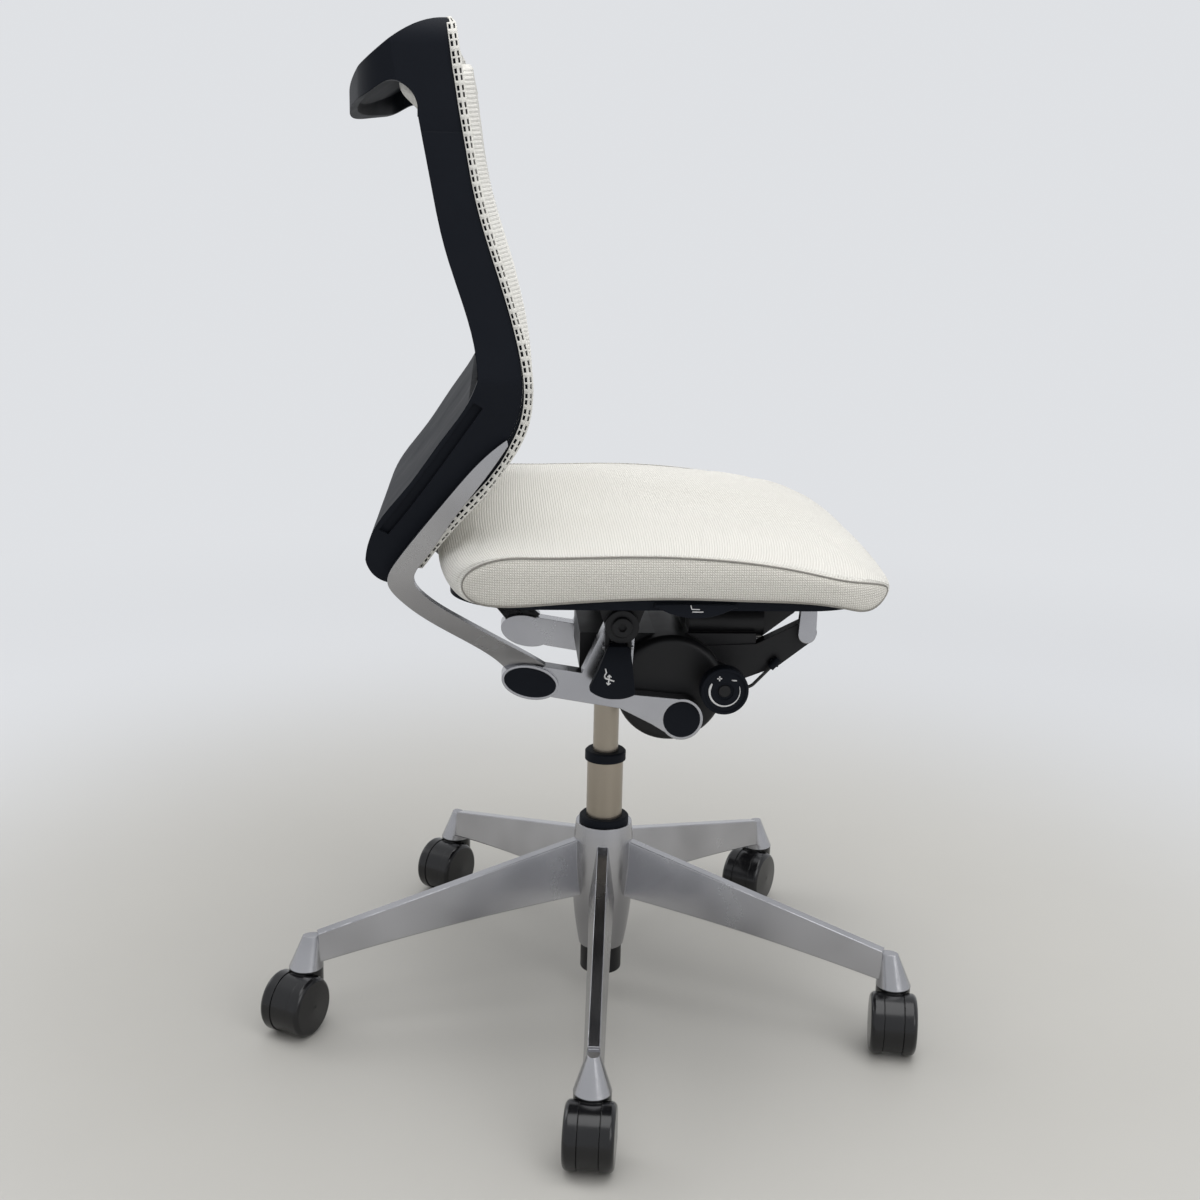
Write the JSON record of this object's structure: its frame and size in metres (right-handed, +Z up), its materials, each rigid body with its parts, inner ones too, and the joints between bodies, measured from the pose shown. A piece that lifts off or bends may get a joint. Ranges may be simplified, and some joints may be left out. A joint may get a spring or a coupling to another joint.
{
  "type": "swivel office chair",
  "caption": "Armless swivel office chair with five-leg castor base, telescopic column, synchronous tilt, padded seat and tall mesh-edged back with a rear handle.",
  "frame": {"origin": "on the floor under the column axis", "axes": "+X forward, +Y to the sitter's left, +Z up along the column"},
  "size_m": [0.653, 0.6458, 0.958],
  "materials": {
    "polished_aluminium": "polished casting",
    "satin_steel": "satin warm plating",
    "steel": "plain",
    "black_plastic": "fine moulded grain",
    "black_metal": "black paint",
    "black_nylon": "glossy",
    "cable_jacket": "matte",
    "seat_cloth": "ribbed weave",
    "mesh_cloth": "open mesh"
  },
  "bodies": {
    "base": {"star_base": "polished_aluminium", "column_outer_tube": "black_metal", "column_guide_ring": "black_plastic", "gas_piston_rod": "steel", "column_clip": "steel"},
    "castor_1": {"castor_1_hood": "black_nylon", "castor_1_stem": "steel", "castor_1_axle": "steel"},
    "castor_1_left_wheel": {"castor_1_wheel_left": "black_nylon"},
    "castor_1_right_wheel": {"castor_1_wheel_right": "black_nylon"},
    "castor_2": {"castor_2_hood": "black_nylon", "castor_2_stem": "steel", "castor_2_axle": "steel"},
    "castor_2_left_wheel": {"castor_2_wheel_left": "black_nylon"},
    "castor_2_right_wheel": {"castor_2_wheel_right": "black_nylon"},
    "castor_3": {"castor_3_hood": "black_nylon", "castor_3_stem": "steel", "castor_3_axle": "steel"},
    "castor_3_left_wheel": {"castor_3_wheel_left": "black_nylon"},
    "castor_3_right_wheel": {"castor_3_wheel_right": "black_nylon"},
    "castor_4": {"castor_4_hood": "black_nylon", "castor_4_stem": "steel", "castor_4_axle": "steel"},
    "castor_4_left_wheel": {"castor_4_wheel_left": "black_nylon"},
    "castor_4_right_wheel": {"castor_4_wheel_right": "black_nylon"},
    "castor_5": {"castor_5_hood": "black_nylon", "castor_5_stem": "steel", "castor_5_axle": "steel"},
    "castor_5_left_wheel": {"castor_5_wheel_left": "black_nylon"},
    "castor_5_right_wheel": {"castor_5_wheel_right": "black_nylon"},
    "lift_stage": {"column_mid_tube": "satin_steel", "column_mid_ring": "black_plastic"},
    "lift_carriage": {"lift_bearing": "steel"},
    "mechanism": {"column_inner_tube": "satin_steel", "mechanism_housing": "black_metal", "front_posts": "polished_aluminium", "front_rollers": "steel", "tension_cable": "cable_jacket", "cable_clip": "black_plastic"},
    "valve": {"gas_valve_pin": "steel"},
    "knob": {"tension_knob": "black_plastic", "tension_shaft": "black_metal"},
    "back": {"back_arm_right": "polished_aluminium", "back_arm_left": "polished_aluminium", "pivot_caps": "black_plastic", "arm_socket_caps": "black_plastic", "pivot_shaft": "steel", "back_frame": "black_plastic", "back_skin": "mesh_cloth", "back_pad": "seat_cloth"},
    "seat_tilt_plate": {"seat_carrier": "black_metal", "seat_pivot_bolts": "black_metal", "paddle_pins": "steel"},
    "seat": {"seat_pan": "black_plastic", "seat_cushion": "seat_cloth"},
    "height_lever": {"height_paddle": "black_plastic"},
    "lock_lever": {"tilt_lock_paddle": "black_plastic"},
    "slide_lever": {"slide_flap": "black_plastic"}
  },
  "joints": [
    {"name": "castor_1_swivel", "type": "hinge", "parent": "base", "child": "castor_1", "pos_m": [-0.02702, -0.30882, 0.062], "axis": [0, 0, 1], "continuous": true},
    {"name": "castor_1_left_roll", "type": "hinge", "parent": "castor_1", "child": "castor_1_left_wheel", "pos_m": [-0.0298, -0.32863, 0.03], "axis": [0.9903, -0.1392, 0], "continuous": true},
    {"name": "castor_1_right_roll", "type": "hinge", "parent": "castor_1", "child": "castor_1_right_wheel", "pos_m": [-0.0298, -0.32863, 0.03], "axis": [0.9903, -0.1392, 0], "continuous": true},
    {"name": "castor_2_swivel", "type": "hinge", "parent": "base", "child": "castor_2", "pos_m": [0.28536, -0.12113, 0.062], "axis": [0, 0, 1], "continuous": true},
    {"name": "castor_2_left_roll", "type": "hinge", "parent": "castor_2", "child": "castor_2_left_wheel", "pos_m": [0.28188, -0.14082, 0.03], "axis": [0.9848, -0.1736, 0], "continuous": true},
    {"name": "castor_2_right_roll", "type": "hinge", "parent": "castor_2", "child": "castor_2_right_wheel", "pos_m": [0.28188, -0.14082, 0.03], "axis": [0.9848, -0.1736, 0], "continuous": true},
    {"name": "castor_3_swivel", "type": "hinge", "parent": "base", "child": "castor_3", "pos_m": [0.20338, 0.23396, 0.062], "axis": [0, 0, 1], "continuous": true},
    {"name": "castor_3_left_roll", "type": "hinge", "parent": "castor_3", "child": "castor_3_left_wheel", "pos_m": [0.19249, 0.21719, 0.03], "axis": [0.8387, -0.5446, 0], "continuous": true},
    {"name": "castor_3_right_roll", "type": "hinge", "parent": "castor_3", "child": "castor_3_right_wheel", "pos_m": [0.19249, 0.21719, 0.03], "axis": [0.8387, -0.5446, 0], "continuous": true},
    {"name": "castor_4_swivel", "type": "hinge", "parent": "base", "child": "castor_4", "pos_m": [-0.15966, 0.26572, 0.062], "axis": [0, 0, 1], "continuous": true},
    {"name": "castor_4_left_roll", "type": "hinge", "parent": "castor_4", "child": "castor_4_left_wheel", "pos_m": [-0.17113, 0.24934, 0.03], "axis": [0.8192, -0.5736, 0], "continuous": true},
    {"name": "castor_4_right_roll", "type": "hinge", "parent": "castor_4", "child": "castor_4_right_wheel", "pos_m": [-0.17113, 0.24934, 0.03], "axis": [0.8192, -0.5736, 0], "continuous": true},
    {"name": "castor_5_swivel", "type": "hinge", "parent": "base", "child": "castor_5", "pos_m": [-0.30206, -0.06974, 0.062], "axis": [0, 0, 1], "continuous": true},
    {"name": "castor_5_left_roll", "type": "hinge", "parent": "castor_5", "child": "castor_5_left_wheel", "pos_m": [-0.31175, -0.08723, 0.03], "axis": [0.8746, -0.4848, 0], "continuous": true},
    {"name": "castor_5_right_roll", "type": "hinge", "parent": "castor_5", "child": "castor_5_right_wheel", "pos_m": [-0.31175, -0.08723, 0.03], "axis": [0.8746, -0.4848, 0], "continuous": true},
    {"name": "lower_lift", "type": "slide", "parent": "base", "child": "lift_stage", "axis": [0, 0, 1], "range_m": [-0.055, 0]},
    {"name": "upper_lift", "type": "slide", "parent": "lift_stage", "child": "lift_carriage", "axis": [0, 0, 1], "range_m": [-0.045, 0]},
    {"name": "seat_swivel", "type": "hinge", "parent": "lift_carriage", "child": "mechanism", "pos_m": [0, 0, 0.156], "axis": [0, 0, 1], "continuous": true},
    {"name": "back_recline", "type": "hinge", "parent": "mechanism", "child": "back", "pos_m": [0.0655, 0, 0.333], "axis": [0, -1, 0], "range_deg": [0, 18], "stiffness_Nm_per_rad": 110, "springref_deg": -28.65},
    {"name": "seat_tilt", "type": "hinge", "parent": "back", "child": "seat_tilt_plate", "pos_m": [0.0045, 0, 0.429], "axis": [0, -1, 0], "range_deg": [-11.8, 0]},
    {"name": "seat_slide", "type": "slide", "parent": "seat_tilt_plate", "child": "seat", "axis": [1, 0, 0], "range_m": [0, 0.05]},
    {"name": "height_lever_pull", "type": "hinge", "parent": "seat_tilt_plate", "child": "height_lever", "pos_m": [0.0015, -0.1055, 0.407], "axis": [-1, 0, 0], "range_deg": [0, 15], "stiffness_Nm_per_rad": 0.8, "springref_deg": -5.73},
    {"name": "lock_lever_pull", "type": "hinge", "parent": "seat_tilt_plate", "child": "lock_lever", "pos_m": [0.0015, 0.1055, 0.407], "axis": [1, 0, 0], "range_deg": [0, 15]},
    {"name": "slide_lever_pull", "type": "hinge", "parent": "seat", "child": "slide_lever", "pos_m": [0.0585, -0.2283, 0.4797], "axis": [-1, 0, 0], "range_deg": [0, 25], "stiffness_Nm_per_rad": 0.3, "springref_deg": -5.73},
    {"name": "tension_turn", "type": "hinge", "parent": "mechanism", "child": "knob", "pos_m": [0.1035, -0.11, 0.367], "axis": [0, -1, 0], "range_deg": [-180, 180]},
    {"name": "valve_press", "type": "slide", "parent": "mechanism", "child": "valve", "axis": [0, 0, -1], "range_m": [0, 0.004]}
  ],
  "couplings": [
    {"joint": "seat_tilt", "follows": "back_recline", "ratio": -0.655},
    {"joint": "valve_press", "follows": "height_lever_pull", "m_per_rad": 0.014897}
  ]
}
